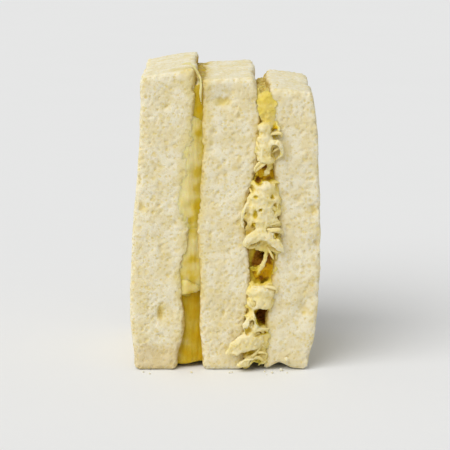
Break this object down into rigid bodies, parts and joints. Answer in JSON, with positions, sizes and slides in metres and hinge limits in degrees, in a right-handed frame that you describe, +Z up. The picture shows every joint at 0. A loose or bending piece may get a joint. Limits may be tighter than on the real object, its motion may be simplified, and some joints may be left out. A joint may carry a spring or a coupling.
{
  "type": "pineapple triple sandwich",
  "caption": "Finger of a triple sandwich stood on its short end: crustless white bread, pineapple, bread, creamy shredded filling, bread.",
  "frame": {"origin": "middle of the base that the sandwich stands on", "axes": "+X across the layers from the first slice to the last, +Y from the front cut to the back cut, +Z up along the slices"},
  "size_m": [0.0502, 0.0436, 0.0815],
  "materials": {
    "bread": "matte open crumb",
    "pineapple": "moist, slightly see-through",
    "filling": "moist, creamy"
  },
  "bodies": {
    "root": {"bread_left": "bread", "bread_middle": "bread", "bread_right": "bread", "pineapple_lower": "pineapple", "pineapple_flap": "pineapple", "pineapple_middle": "pineapple", "pineapple_upper": "pineapple", "pineapple_sliver": "pineapple", "shredded_filling": "filling"}
  },
  "joints": []
}
